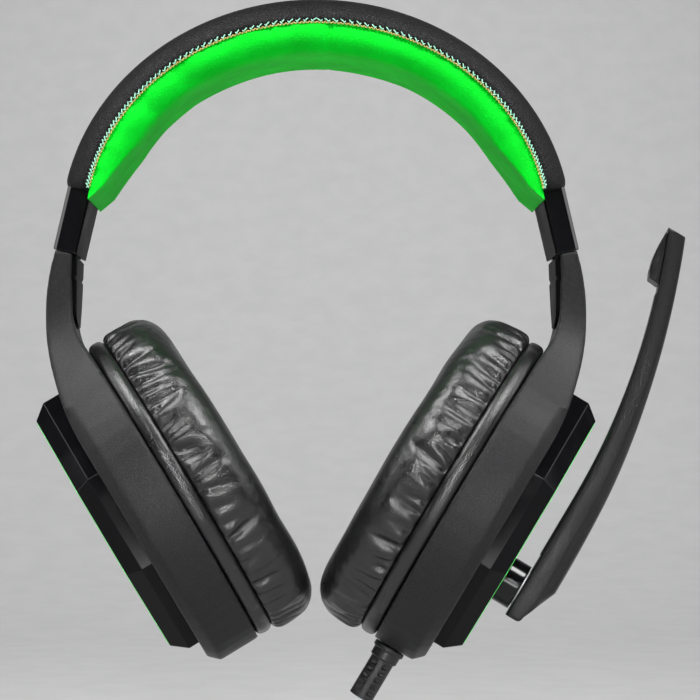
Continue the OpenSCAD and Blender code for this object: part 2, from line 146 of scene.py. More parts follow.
class Graph:
    """A material's node tree: the Principled shader, and short calls for what every finish here needs."""

    def __init__(self, name, color, roughness, **sockets):
        self.material = bpy.data.materials.new(name)
        self.material.use_nodes = True
        self.tree = self.material.node_tree
        self.shader = self.tree.nodes["Principled BSDF"]
        self.shader.inputs["Base Color"].default_value = (*color, 1)
        self.shader.inputs["Roughness"].default_value = roughness
        for socket, value in sockets.items():
            self.shader.inputs[socket.replace("_", " ")].default_value = value
        self.place = self.add("ShaderNodeTexCoord").outputs["Object"]

    def add(self, kind, **values):
        node = self.tree.nodes.new(kind)
        for key, value in values.items():
            if key in node.inputs:
                node.inputs[key].default_value = value
            else:
                setattr(node, key, value)
        return node

    def link(self, source, target):
        self.tree.links.new(source, target)

    def noise(self, scale, detail=3.0, rough=0.55):
        node = self.add("ShaderNodeTexNoise", Scale=scale, Detail=detail, Roughness=rough)
        self.link(self.place, node.inputs["Vector"])
        return node.outputs["Fac"]

    def cells(self, scale, feature="DISTANCE_TO_EDGE", jitter=1.0):
        node = self.add("ShaderNodeTexVoronoi", feature=feature, Scale=scale, Randomness=jitter)
        self.link(self.place, node.inputs["Vector"])
        return node.outputs["Distance"]

    def ramp(self, source, *stops):
        node = self.add("ShaderNodeValToRGB")
        ramp = node.color_ramp
        for i, (position, value) in enumerate(stops):
            stop = ramp.elements[i] if i < 2 else ramp.elements.new(position)
            stop.position = position
            stop.color = (*value, 1) if isinstance(value, tuple) else (value, value, value, 1)
        self.link(source, node.inputs["Fac"])
        return node.outputs["Color"]

    def bump(self, height, distance, strength=1.0):
        """One more layer of relief, on top of those already there."""
        node = self.add("ShaderNodeBump", Strength=strength, Distance=distance)
        self.link(height, node.inputs["Height"])
        normal = self.shader.inputs["Normal"]
        if normal.is_linked:
            self.link(normal.links[0].from_socket, node.inputs["Normal"])
        self.link(node.outputs["Normal"], normal)

    def color(self, source):
        self.link(source, self.shader.inputs["Base Color"])

    def roughness(self, source):
        self.link(source, self.shader.inputs["Roughness"])


def leather(name, dark, light, rough, grain, relief, shine=0.5):
    g = Graph(name, light, rough, Specular_IOR_Level=shine)
    g.color(g.ramp(g.noise(60, 4), (0.3, dark), (0.7, light)))
    g.roughness(g.ramp(g.noise(180, 5), (0.25, rough - 0.07), (0.75, rough + 0.09)))
    pebble = g.ramp(g.cells(grain), (0.0, 0.0), (0.35, 1.0))
    g.bump(g.noise(grain * 2.6, 4), 0.0001, 0.4)
    g.bump(pebble, relief, 0.5)
    g.bump(g.noise(140, 3), 0.0005, 0.2)
    return g.material


def moulded(name, dark, light, rough, grain, relief, shine=0.45):
    """Matt plastic with a spark-eroded texture, slightly polished where it is handled."""
    g = Graph(name, light, rough, Specular_IOR_Level=shine)
    g.color(g.ramp(g.noise(grain * 0.7, 2), (0.35, dark), (0.65, light)))
    g.roughness(g.ramp(g.noise(45, 4), (0.3, rough - 0.06), (0.7, rough + 0.06)))
    g.bump(g.noise(grain, 2, 0.6), relief, 0.8)
    return g.material


def polished(name, color, rough, shine=0.5):
    """Glossy plastic with faint handling haze and very slight waviness."""
    g = Graph(name, color, rough, Specular_IOR_Level=shine)
    g.roughness(g.ramp(g.noise(90, 6), (0.35, rough), (0.75, rough + 0.08)))
    g.color(g.ramp(g.noise(40, 3), (0.3, color), (0.7, tuple(c * 1.5 for c in color))))
    g.bump(g.noise(26, 2), 0.0003, 0.05)
    return g.material


def metal(name, color, rough, grain):
    g = Graph(name, color, rough, Metallic=1.0)
    brushed = g.add("ShaderNodeMapping")
    brushed.inputs["Scale"].default_value = (1, 30, 1)
    g.link(g.place, brushed.inputs["Vector"])
    lines = g.add("ShaderNodeTexNoise", Scale=grain, Detail=4.0)
    g.link(brushed.outputs["Vector"], lines.inputs["Vector"])
    g.roughness(g.ramp(lines.outputs["Fac"], (0.3, rough - 0.08), (0.7, rough + 0.12)))
    g.color(g.ramp(g.noise(70, 3), (0.3, tuple(c * 0.85 for c in color)), (0.7, color)))
    g.bump(lines.outputs["Fac"], 0.00005, 0.4)
    return g.material


def thread(name, dark, light):
    g = Graph(name, light, 0.6, Sheen_Weight=0.2)
    twist = g.add("ShaderNodeTexWave", Scale=900.0, Distortion=2.0, Detail=1.0)
    g.link(g.place, twist.inputs["Vector"])
    g.color(g.ramp(twist.outputs["Fac"], (0.2, dark), (0.8, light)))
    g.bump(twist.outputs["Fac"], 0.0001, 0.7)
    return g.material


def knit(name, dark, light):
    g = Graph(name, light, 0.85, Sheen_Weight=0.2)
    holes = g.ramp(g.cells(900, "F1", 0.25), (0.2, 0.0), (0.5, 1.0))
    g.color(g.ramp(g.cells(900, "F1", 0.25), (0.2, dark), (0.5, light)))
    g.bump(holes, 0.0003, 0.8)
    return g.material


def glowing(name, color, rough, power):
    g = Graph(name, color, rough, Emission_Strength=power)
    g.shader.inputs["Emission Color"].default_value = (*color, 1)
    g.color(g.ramp(g.noise(300, 2), (0.3, tuple(c * 0.85 for c in color)), (0.7, color)))
    g.roughness(g.ramp(g.noise(200, 3), (0.3, rough), (0.7, rough + 0.1)))
    return g.material


def board_finish():
    g = Graph("circuit_board", (0.01, 0.12, 0.03), 0.35)
    tracks = g.add("ShaderNodeTexBrick", Scale=300.0)
    g.link(g.place, tracks.inputs["Vector"])
    g.color(g.ramp(tracks.outputs["Fac"], (0.0, (0.01, 0.12, 0.03)), (1.0, (0.03, 0.2, 0.06))))
    g.bump(tracks.outputs["Fac"], 0.00006, 0.6)
    return g.material


def grey(dark, light):
    """Two near-black colours, a trace bluer than neutral."""
    return (dark, dark, dark * 1.03), (light, light, light * 1.03)


FINISH = {
    "cover_leather": leather("black_cover_leather", *grey(0.005, 0.009), 0.48, 1150, 0.00022, 0.14),
    "pad_leather": leather("black_pad_leather", *grey(0.005, 0.009), 0.32, 1500, 0.00006, 0.55),
    "green_leather": leather("green_leather", (0.0, 0.6, 0.016), (0.0, 0.8, 0.026), 0.62, 1300, 0.0001,
                             0.08),
    "grey_plastic": moulded("grey_matt_plastic", *grey(0.013, 0.021), 0.46, 2400, 0.00010, 0.14),
    "boom_plastic": moulded("boom_matt_plastic", *grey(0.010, 0.016), 0.4, 2400, 0.00008, 0.22),
    "black_plastic": moulded("black_matt_plastic", *grey(0.004, 0.006), 0.4, 2200, 0.00006, 0.2),
    "gloss_plastic": polished("black_gloss_plastic", (0.0025, 0.0025, 0.003), 0.09, 0.3),
    "plate_plastic": polished("black_plate_plastic", (0.004, 0.004, 0.0045), 0.18, 0.35),
    "light_plastic": glowing("green_light", (0.06, 0.55, 0.08), 0.3, 0.7),
    "board": board_finish(),
    "led": glowing("led_window", (0.35, 1.0, 0.4), 0.2, 1.0),
    "spring_steel": metal("spring_steel", (0.5, 0.5, 0.52), 0.32, 700),
    "screw_steel": metal("screw_steel", (0.42, 0.42, 0.43), 0.35, 400),
    "magnet_steel": metal("magnet_steel", (0.45, 0.45, 0.46), 0.3, 300),
    "cone_film": moulded("cone_film", (0.5, 0.44, 0.3), (0.62, 0.56, 0.4), 0.4, 900, 0.00005),
    "cloth": knit("acoustic_knit", (0.003, 0.003, 0.003), (0.014, 0.014, 0.014)),
    "relief_rubber": moulded("relief_rubber", *grey(0.009, 0.014), 0.5, 1800, 0.00008),
    "wire_jacket": moulded("wire_jacket", *grey(0.008, 0.013), 0.55, 1500, 0.00005),
    "washer_nylon": moulded("washer_nylon", (0.6, 0.6, 0.57), (0.72, 0.72, 0.69), 0.5, 1200, 0.00004),
    "capsule_metal": metal("capsule_metal", (0.6, 0.6, 0.6), 0.3, 500),
}
FACET_BLACK = polished("black_facet_plastic", (0.0025, 0.0025, 0.003), 0.07, 0.1)
SATIN_BLACK = moulded("black_satin_plastic", *grey(0.0025, 0.004), 0.42, 2000, 0.00006, 0.02)
THREAD_MINT = thread("mint_thread", (0.2, 0.6, 0.4), (0.5, 0.95, 0.72))
THREAD_TAN = thread("tan_thread", (0.3, 0.2, 0.03), (0.75, 0.6, 0.15))

SLOT_OF = {row["node"]: row["material_slot"] for row in frame["record"]["subparts"]}


# ---- making meshes


def new_piece(name, points, faces, material, flip=False, shade=True):
    """A mesh object from points in millimetres."""
    mesh = bpy.data.meshes.new(name)
    if flip:
        points = [Vector((-p.x, p.y, p.z)) for p in points]
        faces = [tuple(reversed(f)) for f in faces]
    mesh.from_pydata([tuple(p * MM) for p in points], [], faces)
    mesh.update()
    made = bpy.data.objects.new(name, mesh)
    bpy.context.scene.collection.objects.link(made)
    mesh.materials.append(material)
    if shade:
        mesh.shade_smooth()
    return made


def tidy_normals(piece):
    bm = bmesh.new()
    bm.from_mesh(piece.data)
    bmesh.ops.recalc_face_normals(bm, faces=bm.faces)
    bm.to_mesh(piece.data)
    bm.free()


def grid_faces(rows, columns, wrap_rows=True, wrap_columns=True):
    """Quads between rows of points; a wrapped side joins its last row or column to its first."""
    faces = []
    for i in range(rows if wrap_rows else rows - 1):
        for j in range(columns if wrap_columns else columns - 1):
            a, b = i, (i + 1) % rows
            c, d = j, (j + 1) % columns
            faces.append((a * columns + c, b * columns + c, b * columns + d, a * columns + d))
    return faces


def end_faces(rows, columns, turned=False):
    last = (rows - 1) * columns
    ends = [tuple(reversed(range(columns))), tuple(range(last, last + columns))]
    return [tuple(reversed(end)) for end in ends] if turned else ends


def settle(piece, body, slot, *nodes):
    """The piece rides on its body and stands for those CAD nodes, which it hides. The slot is not used."""
    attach(piece, body)
    if nodes:
        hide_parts(*nodes)
    return piece


def bevel(piece, width, segments, angle):
    made = piece.modifiers.new("edges", "BEVEL")
    made.width = width * MM
    made.segments = segments
    made.limit_method = "ANGLE"
    made.angle_limit = math.radians(angle)
    made.harden_normals = True


def bake_modifiers(piece):
    depsgraph = bpy.context.evaluated_depsgraph_get()
    mesh = bpy.data.meshes.new_from_object(piece.evaluated_get(depsgraph))
    piece.modifiers.clear()
    piece.data = mesh


def smooth_by_angle(piece, degrees):
    bpy.context.view_layer.objects.active = piece
    piece.data.set_sharp_from_angle(angle=math.radians(degrees))


def moulded_copy(node, name, voxel, passes):
    """A copy of a CAD node with its edges rounded off as a mould leaves them."""
    mesh = frame["nodes"][node].data.copy()
    made = bpy.data.objects.new(name, mesh)
    bpy.context.scene.collection.objects.link(made)
    mesh.materials.clear()
    mesh.materials.append(FINISH[SLOT_OF[node]])
    remesh = made.modifiers.new("remesh", "REMESH")
    remesh.mode = "VOXEL"
    remesh.voxel_size = voxel * MM
    relax = made.modifiers.new("relax", "SMOOTH")
    relax.factor = 0.5
    relax.iterations = passes
    bake_modifiers(made)
    made.data.shade_smooth()
    return made


# ---- CAD nodes that stay, with real finishes


def finish_cad_nodes():
    for node, obj in frame["nodes"].items():
        material = FINISH[SLOT_OF[node]]
        if not obj.material_slots:
            obj.data.materials.append(material)
        for entry in obj.material_slots:
            entry.material = material


# ---- headband


def spline(knots, count):
    """A smooth curve through 2-D knots, as count points."""
    ends = [knots[0], *knots, knots[-1]]
    points = []
    for i in range(count):
        k = i / (count - 1) * (len(knots) - 1)
        n = min(int(k), len(knots) - 2)
        f = k - n
        a, b, c, d = (Vector(q) for q in ends[n:n + 4])
        curve = 2 * b + (c - a) * f + (2 * a - 5 * b + 4 * c - d) * f * f
        curve += (3 * b - a - 3 * c + d) * f ** 3
        points.append(0.5 * curve)
    return points


def from_end(angle, reach):
    """0 at the nearer end of the band's padding, 1 from so many degrees on."""
    return min(1.0, max(0.0, (min(angle, 180 - angle) - BAND_END) / reach))


# Half section of the cover from the middle of its top to the seam, as (y, depth from the outer curve)
COVER_HALF = [(0, 0.15), (5, 0.2), (9, 0.4), (12.5, 1.1), (15.8, 2.8), (18.3, 5.2), (19.6, 7.4),
              (19.35, 8.9)]
# Half section of the cushion from the seam down its side and in under it
CUSHION_HALF = [(19.2, 8.9), (19.75, 10.2), (19.95, 12.2), (19.7, 14.2), (18.6, 16.2), (16.4, 17.5),
                (12.5, 17.95), (6, 18.0), (0, 18.0)]
BACKING = (15, 8, 0, -8, -15)  # points across the hidden face where cover and cushion meet
SECTION_POINTS = 30


def build_cover():
    """The black top cover: rounded at its edges, lightly waved and closed in at both ends."""
    half = spline(COVER_HALF, SECTION_POINTS)
    section = [(-y, t) for y, t in reversed(half)] + [(y, t) for y, t in half[1:]]
    section += [(y, COVER_T) for y in BACKING]
    columns = len(section)
    rows = 190
    start = BAND_END + 0.3
    angles = []
    for i in range(rows):
        k = i / (rows - 1)
        # closer together at the ends
        angles.append(start + (180 - 2 * start) * (k - 0.35 * math.sin(TAU * k) / TAU))
    points = []
    for angle in angles:
        closed = 1 - math.sqrt(max(0.0, 1 - (1 - from_end(angle, 3.0)) ** 2))
        for j, (y, t) in enumerate(section):
            y2 = y * (1 - 0.10 * closed)
            t2 = mix(t, 5.6, 0.42 * closed)
            p = band_point(t2, y2, angle)
            if j < columns - len(BACKING):
                lump = 0.3 * smooth((t - 0.6) / 2) * noise.noise(Vector((p.x * 0.05, p.z * 0.05, y * 0.06)))
                side = smooth((t - 4.5) / 3.5)
                lump -= 0.16 * side * (0.5 + 0.5 * math.sin(angle * 5.2 + 2 * math.sin(angle * 0.11)))
                lump -= 0.5 * side * math.exp(-((angle - CREASE) / 1.1) ** 2)
                out = (p - Vector((0, p.y, BAND_ZC))).normalized() * 0.7
                out += Vector((0, math.copysign(0.7, y), 0)) * side
                p += out * lump
            points.append(p)
    faces = grid_faces(rows, columns, wrap_rows=False) + end_faces(rows, columns, turned=True)
    cover = new_piece("headband_cover", points, faces, FINISH["cover_leather"])
    tidy_normals(cover)
    settle(cover, "headband", "cover_leather", "headband_top_cover")


def build_cushion():
    """The green pad: crowned underneath, rounded at its edges and drawn in along the seam."""
    half = spline(CUSHION_HALF, SECTION_POINTS)
    section = [(-y, t) for y, t in half] + [(y, t) for y, t in reversed(half[:-1])]
    backing_t = COVER_T + 0.1
    section += [(y, backing_t) for y in BACKING]
    columns = len(section)
    rng = random.Random(7)
    # puckers along the seam and dents in the foam, as (degrees, width in degrees, depth)
    puckers = [(rng.uniform(12, 168), rng.uniform(0.4, 1.0), rng.uniform(0.1, 0.35)) for _ in range(90)]
    dents = [(128, 3.5, 0.9), (141, 2.6, 0.7), (152, 3.0, 0.6), (63, 5, 0.35), (40, 4, 0.3), (28, 2.5, 0.4)]
    rows = 240
    first = 5.0
    points = []
    for i in range(rows):
        angle = first + (180 - 2 * first) * i / (rows - 1)
        fold = sum(d * math.exp(-((angle - c) / w) ** 2) for c, w, d in puckers if abs(angle - c) < 4)
        crease = math.exp(-((angle - CREASE) / 0.8) ** 2)
        side_step = 0.45 * smooth((CREASE - angle) / 6 + 0.5)
        sag = sum(d * math.exp(-((angle - c) / w) ** 2) for c, w, d in dents)
        for y, t in section:
            if t > backing_t + 0.01:
                under = smooth((t - 14) / 3.5)
                near = 1 - smooth((t - 9.2) / 3.5)
                wall = smooth((abs(y) - 17) / 2)
                lump = 0.5 * noise.noise(Vector((angle * 0.06, y * 0.05, 4.0)))
                y2 = y - math.copysign(wall * (near * fold + 0.8 * crease + side_step + 0.7 * sag), y)
                t2 = t + under * (0.4 * lump - 0.15 * sag - 0.2 * crease) + 0.25 * lump * wall
                t2 = min(t2, BAND_T + 0.4)
            else:
                y2, t2 = y, t
            points.append(band_point(t2, y2, angle))
    points = [slant_end(p) for p in points]
    faces = grid_faces(rows, columns, wrap_rows=False) + end_faces(rows, columns, turned=True)
    cushion = new_piece("headband_pad", points, faces, FINISH["green_leather"])
    tidy_normals(cushion)
    settle(cushion, "headband", "green_leather", "headband_cushion")


# How far in from the rail the pad's inner face may be, by height on the rail
END_REACH = [(15.3, 4.35), (18, 6.4), (20, 7.9), (23.5, 9.3), (27, 10.8), (32, 13.2), (36.5, 15.9),
             (42, 19.8), (50, 27)]
END_INSIDE = -4.4  # further in than this the pad's end hangs below the end cap's top
END_DROP = 3.2


def slant_end(p):
    """Draws the pad's end in towards the end cap: it thins down to an edge against the cap's inner face."""
    side = 1 if p.x > 0 else -1
    q = Vector((abs(p.x), p.y, p.z)) - RAIL_ORIGIN
    x, z = q.dot(RAIL_OUT), q.dot(RAIL_UP)
    if z < END_REACH[-1][0] and x < 0:
        reach = next(mix(r0, r1, (max(z, z0) - z0) / (z1 - z0))
                     for (z0, r0), (z1, r1) in zip(END_REACH, END_REACH[1:]) if z <= z1)
        over = -x - reach
        if over > 0:
            q += RAIL_OUT * over
    low = CAP_H + 0.15 if x > END_INSIDE else CAP_H - END_DROP
    if z < low:
        q += RAIL_UP * (low - z)
    p = RAIL_ORIGIN + q
    return Vector((side * p.x, p.y, p.z))


# ---- stitching along the headband


def tube(path, radius, sides=6):
    """Points and faces of a thread along a path."""
    rings = []
    for i, p in enumerate(path):
        ahead = path[min(i + 1, len(path) - 1)] - path[max(i - 1, 0)]
        ahead.normalize()
        across = ahead.cross(Vector((0, 1, 0)))
        if across.length < 0.2:
            across = ahead.cross(Vector((1, 0, 0)))
        across.normalize()
        other = ahead.cross(across)
        for k in range(sides):
            turn = TAU * k / sides
            rings.append(p + radius * (math.cos(turn) * across + math.sin(turn) * other))
    return rings, grid_faces(len(path), sides, wrap_rows=False) + end_faces(len(path), sides)


def joined(name, parts, material):
    points, faces = [], []
    for rings, quads in parts:
        base = len(points)
        points += rings
        faces += [tuple(base + i for i in f) for f in quads]
    return new_piece(name, points, faces, material)


def seam_point(angle, t, front, lift):
    """A point just off the seam; t is the depth from the outer curve."""
    y = 19.45 + lift
    if t < 8.9:
        y = 19.55 + lift - 0.28 * max(0.0, 7.9 - t) ** 1.5
    return band_point(t, -y if front else y, angle)


STITCHES = 108
BAR_R, CHAIN_R = 0.18, 0.2  # radii of the two threads


def build_stitching():
    """An overlock seam: slanting bars over the cover's edge and a fine chain along the cushion's."""
    for front in (True, False):
        where = "front" if front else "back"
        bars = []
        rng = random.Random(31 + front)
        for i in range(STITCHES):
            k = i / (STITCHES - 1)
            # closer together towards the ends
            k = k - 0.32 * math.sin(TAU * k) / TAU
            angle = BAND_END + 1.0 + (180 - 2 * BAND_END - 2.0) * k
            lean = (1.25 if angle < 90 else -1.25) + rng.uniform(-0.2, 0.2)
            tall = 1.3 + rng.uniform(-0.12, 0.12)
            for half_lean, size in ((lean, 1.0), (-0.35 * lean, 0.62)):
                path = []
                for j in range(7):
                    f = j / 6
                    lift = 0.32 * math.sin(math.pi * f) - 0.1
                    t = COVER_T + 0.15 - tall * size * f
                    path.append(seam_point(angle + half_lean * (f - 0.3), t, front, lift))
                bars.append(tube(path, BAR_R * (0.85 + 0.15 * size)))
        steps = 900
        path = []
        for i in range(steps):
            angle = BAND_END + 0.8 + (180 - 2 * BAND_END - 1.6) * i / (steps - 1)
            swing = math.sin(i * TAU * STITCHES * 1.5 / steps)
            path.append(seam_point(angle, COVER_T + 0.12 + 0.24 * swing, front, 0.1 + 0.12 * swing))
        chain = [tube(path, CHAIN_R)]
        settle(joined(f"overlock_bars_{where}", bars, THREAD_MINT), "headband", "green_leather")
        settle(joined(f"overlock_chain_{where}", chain, THREAD_TAN), "headband", "green_leather")


# ---- end caps


def prism(outline, low, high, place):
    """Points and faces of an outline (x, y) made solid from low to high, put in place by place()."""
    points = [place(x, y, low) for x, y in outline] + [place(x, y, high) for x, y in outline]
    n = len(outline)
    faces = [(i, (i + 1) % n, n + (i + 1) % n, n + i) for i in range(n)]
    faces += [tuple(reversed(range(n))), tuple(range(n, 2 * n))]
    return points, faces


CAP_LOW = -0.95  # the shown caps reach down to the arm
CAP_INSIDE, CAP_JOIN = 4.25, 3.8  # how far in from the rail they reach, and where the two halves meet
CAP_STEP = 0.4  # the inner half is narrower by this at each edge
CAP_CHAMFER = 1.2


def build_end_caps():
    """A gloss outer half and a thin satin inner half at each end of the band."""
    half, edge = CAP_W / 2, CAP_CHAMFER
    back = CAP_T / 2
    outer = [(-CAP_JOIN, -half), (back - edge, -half), (back, edge - half), (back, half - edge),
             (back - edge, half), (-CAP_JOIN, half)]
    inner = [(-CAP_JOIN, half - CAP_STEP), (-CAP_INSIDE, half - CAP_STEP), (-CAP_INSIDE, CAP_STEP - half),
             (-CAP_JOIN, CAP_STEP - half)]
    for side in SIDES:
        flip = side == "right"
        for label, outline in (("outer", outer), ("inner", inner)):
            points, faces = prism(outline, CAP_LOW, CAP_H, rail_point)
            finish = FINISH["gloss_plastic"] if label == "outer" else SATIN_BLACK
            cap = new_piece(f"rail_cap_{label}_{side}", points, faces, finish, flip, shade=False)
            tidy_normals(cap)
            bevel(cap, 0.38 if label == "outer" else 0.15, 1, 20)
            bake_modifiers(cap)
            settle(cap, "headband", "gloss_plastic", f"end_cap_{label}_{side}")


# ---- arm and ring


def toe_lost(local):
    """How much of the cup's toe the arm has lost at a point given from the cup's middle, 0 to 1."""
    return smooth((local.dot(CUP_UP) - TOE_FROM) / TOE_OVER)


def untwist(p, side):
    """Turns the arm back by the cup's toe towards its top, so that it meets the end cap squarely."""
    q = mirrored(p, side)
    local = q - CUP_ORIGIN
    lost = toe_lost(local)
    if lost > 0:
        q = CUP_ORIGIN + Matrix.Rotation(math.radians(TOE) * lost, 3, CUP_UP) @ local
    return mirrored(q, side)


ARM_TOP = -1.1  # height of the arm's top in the rail's frame
ARM_LEVEL = 2.2  # depth over which its rounded end is levelled
ARM_END, ARM_FADE = 10, 3  # length of arm that this changes, and the part of it where the change fades


def reach_cap(p, side, top):
    """Levels the arm's last few millimetres so that it ends square, just below the end cap."""
    q = mirrored(p, side) - RAIL_ORIGIN
    height = q.dot(RAIL_UP)
    below = top - height
    if below < ARM_END:
        new_below = max(0.0, below - ARM_LEVEL) * ARM_END / (ARM_END - ARM_LEVEL)
        share = 1 - smooth((below - (ARM_END - ARM_FADE)) / ARM_FADE)
        q += RAIL_UP * (mix(height, ARM_TOP - new_below, share) - height)
    q += RAIL_ORIGIN
    return mirrored(q, side)


def arm_top(points, side):
    return max((mirrored(p, side) - RAIL_ORIGIN).dot(RAIL_UP) for p in points)


# The arm's inner face: straight down, then round a bend towards the cup
INNER_X, INNER_BEND_Z, INNER_BEND_R = 72.95, -77.2, 18.0
PANEL_TOP, PANEL_LOW_ANGLE, PANEL_HALF = -59.9, -13, 11.6
PANEL_SUNK = 0.9  # how deep its hidden face lies in the arm
GROOVE_AT, GROOVE_W = 6.5, 0.45


def build_inner_panel(side):
    """The black panel down the arm's inner face and a little way round its bend."""
    down, across = 46, 25
    length = INNER_BEND_Z - PANEL_TOP + INNER_BEND_R * math.radians(PANEL_LOW_ANGLE)
    outer, inner = [], []
    for i in range(down):
        run = length * i / (down - 1)
        z = PANEL_TOP + run
        turn = 0.0
        if z < INNER_BEND_Z:
            turn = (z - INNER_BEND_Z) / INNER_BEND_R
            x = INNER_X - INNER_BEND_R * (1 - math.cos(turn))
            z = INNER_BEND_Z + INNER_BEND_R * math.sin(turn)
        else:
            x = INNER_X
        left_over = abs(length) - abs(run)
        half = PANEL_HALF * math.sqrt(max(0.02, 1 - max(0.0, 1 - left_over / 7) ** 2.4))
        end = smooth(min(abs(run), left_over + 0.4) / 0.9)
        for j in range(across):
            k = 2 * j / (across - 1) - 1
            rim = max(0.0, 1 - abs(k) ** 14) ** 0.5
            groove = 0.45 * math.exp(-((abs(run) - GROOVE_AT) / GROOVE_W) ** 2)
            rise = mix(1.5, 0.9, abs(run / length)) * (0.35 + 0.65 * end * rim) - groove * rim
            y = half * k
            for points, lift in ((outer, rise), (inner, -PANEL_SUNK)):
                p = Vector((x - lift * math.cos(turn), y, z - lift * math.sin(turn))) - CUP_ORIGIN
                toe = math.radians(-TOE * (1 - toe_lost(p)))
                points.append(CUP_ORIGIN + Matrix.Rotation(toe, 3, CUP_UP) @ p)
    n = down * across
    front = grid_faces(down, across, False, False)
    faces = front + [tuple(n + i for i in reversed(f)) for f in front]
    # round the edge: along the top, down one side, back along the bottom and up the other
    edge = list(range(across)) + [i * across + across - 1 for i in range(1, down)]
    edge += [(down - 1) * across + j for j in range(across - 2, -1, -1)]
    edge += [i * across for i in range(down - 2, 0, -1)]
    for a, b in zip(edge, edge[1:] + edge[:1]):
        faces.append((a, b, n + b, n + a))
    panel = new_piece(f"arm_cover_{side}", outer + inner, faces, SATIN_BLACK, side == "right")
    tidy_normals(panel)
    smooth_by_angle(panel, 40)
    settle(panel, f"arm_{side}", "black_plastic", f"arm_inner_cover_{side}")


def build_yokes():
    """Arm and cup ring in one moulding, each side, with the panel on its inner face."""
    for side in SIDES:
        arm = moulded_copy(f"yoke_{side}", f"arm_and_ring_{side}", 0.7, 4)
        points = [untwist(v.co / MM, side) for v in arm.data.vertices]
        top = arm_top(points, side)
        for v, p in zip(arm.data.vertices, points):
            v.co = reach_cap(p, side, top) * MM
        settle(arm, f"arm_{side}", "grey_plastic", f"yoke_{side}")
        build_inner_panel(side)


# ---- outer side of the cup


def octagon(k):
    h, w, s, y = (size * k for size in (BEZEL_H, BEZEL_W, FLAT_S, FLAT_Y))
    return [(y, h), (w, s), (w, -s), (y, -h), (-y, -h), (-w, -s), (-w, s), (-y, h)]


CAP_BACK_U, CAP_EDGE_U, CAP_FACE_U, PLATE_BACK_U = 4.9, 11.3, 15.8, 14.1
LIGHT_PROUD = 0.15


def loft_octagons(name, steps, material, flip, closed):
    """Octagons (u, share) joined into a ring, or, if not closed, into a plate with a middle on both faces."""
    points = [cup_point(u, y, s) for u, k in steps for y, s in octagon(k)]
    n = len(steps)
    faces = grid_faces(n, 8, wrap_rows=closed)
    if not closed:
        points += [cup_point(steps[-1][0], 0, 0), cup_point(steps[0][0], 0, 0)]
        faces += [((n - 1) * 8 + j, (n - 1) * 8 + (j + 1) % 8, n * 8) for j in range(8)]
        faces += [((j + 1) % 8, j, n * 8 + 1) for j in range(8)]
    piece = new_piece(name, points, faces, material, flip, shade=False)
    tidy_normals(piece)
    return piece


def build_outer_caps():
    """Faceted gloss cap, green light line and side plate of each cup."""
    wall = [(CAP_BACK_U, 0.95), (CAP_BACK_U, 1.0), (CAP_EDGE_U, 1.0), (CAP_FACE_U, FACE_K + 0.012),
            (CAP_FACE_U, FACE_K + 0.001), (PLATE_BACK_U, FACE_K + 0.001), (PLATE_BACK_U, LEDGE_K),
            (CAP_EDGE_U - 1, LEDGE_K), (CAP_EDGE_U - 1, 0.95)]
    line = [(PLATE_BACK_U + 0.02, FACE_K), (CAP_FACE_U + LIGHT_PROUD, FACE_K - 0.004),
            (CAP_FACE_U + LIGHT_PROUD, LIGHT_K + 0.006), (PLATE_BACK_U + 0.02, LIGHT_K + 0.002)]
    # the plate: a raised centre panel inside a sloping border
    plate = [(PLATE_BACK_U + 0.02, LIGHT_K), (CAP_FACE_U - 0.3, LIGHT_K), (CAP_FACE_U, LIGHT_K - 0.03),
             (CAP_FACE_U - 0.5, LIGHT_K - 0.13), (CAP_FACE_U - 0.5, LIGHT_K - 0.17),
             (CAP_FACE_U + 0.1, LIGHT_K - 0.21), (CAP_FACE_U + 0.1, 0.3)]
    for side in SIDES:
        flip = side == "right"
        cap = loft_octagons(f"facet_cap_{side}", wall, FACET_BLACK, flip, True)
        bevel(cap, 0.35, 3, 18)
        bake_modifiers(cap)
        settle(cap, f"arm_{side}", "gloss_plastic", f"outer_cap_{side}")
        light = loft_octagons(f"light_line_{side}", line, FINISH["light_plastic"], flip, True)
        bevel(light, 0.12, 2, 18)
        bake_modifiers(light)
        settle(light, f"arm_{side}", "light_plastic", f"light_ring_{side}")
        face = loft_octagons(f"face_plate_{side}", plate, FINISH["plate_plastic"], flip, False)
        bevel(face, 0.25, 2, 12)
        bake_modifiers(face)
        settle(face, f"arm_{side}", "plate_plastic", f"side_plate_{side}")


# ---- ear pads


# Section of the ear pad: how far in from its outer oval, and how far from the seam's plane
PAD_SECTION = [(1.5, 0), (0.5, 1.6), (0.0, 4.5), (0.0, 9.0), (0.7, 11.8), (2.4, 14.2), (5.2, 16.3),
               (8.5, 17.2), (11.5, 17.4), (14.8, 16.9), (17.6, 14.8), (19.1, 11.2), (19.5, 6.5), (19.3, 0)]
PAD_ROWS, PAD_COLUMNS = 330, 46
PAD_BACK = 7  # columns across the pad's flat back
PAD_FRONT = PAD_COLUMNS - PAD_BACK
PAD_THICK = 19.5  # from the outer oval to the ear opening


